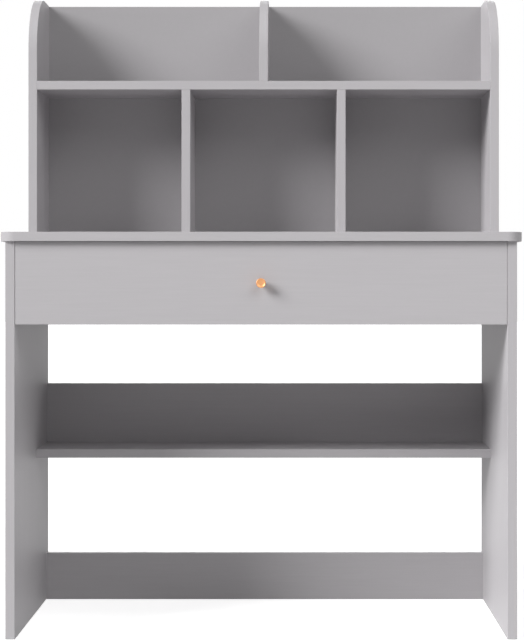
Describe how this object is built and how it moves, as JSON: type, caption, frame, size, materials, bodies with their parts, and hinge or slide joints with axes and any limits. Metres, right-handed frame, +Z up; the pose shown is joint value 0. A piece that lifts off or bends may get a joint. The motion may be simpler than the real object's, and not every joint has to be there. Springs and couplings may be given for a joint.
{
  "type": "student desk with hutch",
  "caption": "Writing desk with an open shelved hutch above the worktop, a shelf under it at the back and one full-width drawer on roller runners.",
  "frame": {"origin": "on the floor, under the middle of the desk's overall box, from the knob's face to the rear edge of the worktop", "axes": "+X to the user's right, +Y towards the wall behind the desk, +Z up"},
  "size_m": [1, 0.5106, 1.286],
  "materials": {
    "grey_laminate": "satin warm-grey laminate on 18 mm board",
    "drawer_board": "matt light-grey laminate on 15 mm board",
    "grey_hardboard": "satin warm-grey lacquer on 3 mm hardboard",
    "drawer_hardboard": "matt light-grey lacquer on 3 mm hardboard",
    "runner_steel": "off-white powder coat",
    "zinc_plated_steel": "bright zinc plate",
    "cast_zinc": "as cast",
    "roller_nylon": "natural nylon",
    "beech": "bare wood",
    "copper_metal": "satin rose gold"
  },
  "bodies": {
    "carcass": {"worktop": "grey_laminate", "desk_side_left": "grey_laminate", "desk_side_right": "grey_laminate", "rear_apron": "grey_laminate", "knee_shelf": "grey_laminate", "knee_shelf_back": "grey_laminate", "floor_rail": "grey_laminate", "hutch_side_left": "grey_laminate", "hutch_side_right": "grey_laminate", "hutch_shelf": "grey_laminate", "hutch_top_divider": "grey_laminate", "hutch_divider_left": "grey_laminate", "hutch_divider_right": "grey_laminate", "hutch_back": "grey_hardboard", "cabinet_runner_left": "runner_steel", "cabinet_runner_right": "runner_steel", "cabinet_runner_screws": "zinc_plated_steel", "front_roller_pins": "zinc_plated_steel", "cam_locks": "cast_zinc", "cam_bolts": "zinc_plated_steel", "wood_dowels": "beech", "divider_screws": "zinc_plated_steel"},
    "drawer": {"drawer_front": "grey_laminate", "drawer_side_left": "drawer_board", "drawer_side_right": "drawer_board", "drawer_back": "drawer_board", "drawer_bottom": "drawer_hardboard", "drawer_bottom_brace": "drawer_board", "knob": "copper_metal", "knob_screw": "zinc_plated_steel", "drawer_runner_left": "runner_steel", "drawer_runner_right": "runner_steel", "drawer_cam_locks": "cast_zinc", "drawer_cam_bolts": "zinc_plated_steel", "drawer_back_screws": "zinc_plated_steel", "drawer_runner_screws": "zinc_plated_steel", "rear_roller_pins": "zinc_plated_steel"},
    "front_roller_left": {"front_roller_left": "roller_nylon"},
    "front_roller_right": {"front_roller_right": "roller_nylon"},
    "rear_roller_left": {"rear_roller_left": "roller_nylon"},
    "rear_roller_right": {"rear_roller_right": "roller_nylon"}
  },
  "joints": [
    {"name": "drawer_slide", "type": "slide", "parent": "carcass", "child": "drawer", "axis": [0, -1, 0], "range_m": [0, 0.3]},
    {"name": "front_roller_left_spin", "type": "hinge", "parent": "carcass", "child": "front_roller_left", "pos_m": [-0.4655, -0.20305, 0.6252], "axis": [1, 0, 0], "range_deg": [0, 1720]},
    {"name": "rear_roller_left_spin", "type": "hinge", "parent": "drawer", "child": "rear_roller_left", "pos_m": [-0.464, 0.1724, 0.62655], "axis": [1, 0, 0], "range_deg": [0, 1515]},
    {"name": "front_roller_right_spin", "type": "hinge", "parent": "carcass", "child": "front_roller_right", "pos_m": [0.4655, -0.20305, 0.6252], "axis": [1, 0, 0], "range_deg": [0, 1720]},
    {"name": "rear_roller_right_spin", "type": "hinge", "parent": "drawer", "child": "rear_roller_right", "pos_m": [0.464, 0.1724, 0.62655], "axis": [1, 0, 0], "range_deg": [0, 1515]}
  ],
  "couplings": [
    {"joint": "front_roller_left_spin", "follows": "drawer_slide", "rad_per_m": 100},
    {"joint": "rear_roller_left_spin", "follows": "drawer_slide", "rad_per_m": 88.106},
    {"joint": "front_roller_right_spin", "follows": "drawer_slide", "rad_per_m": 100},
    {"joint": "rear_roller_right_spin", "follows": "drawer_slide", "rad_per_m": 88.106}
  ]
}
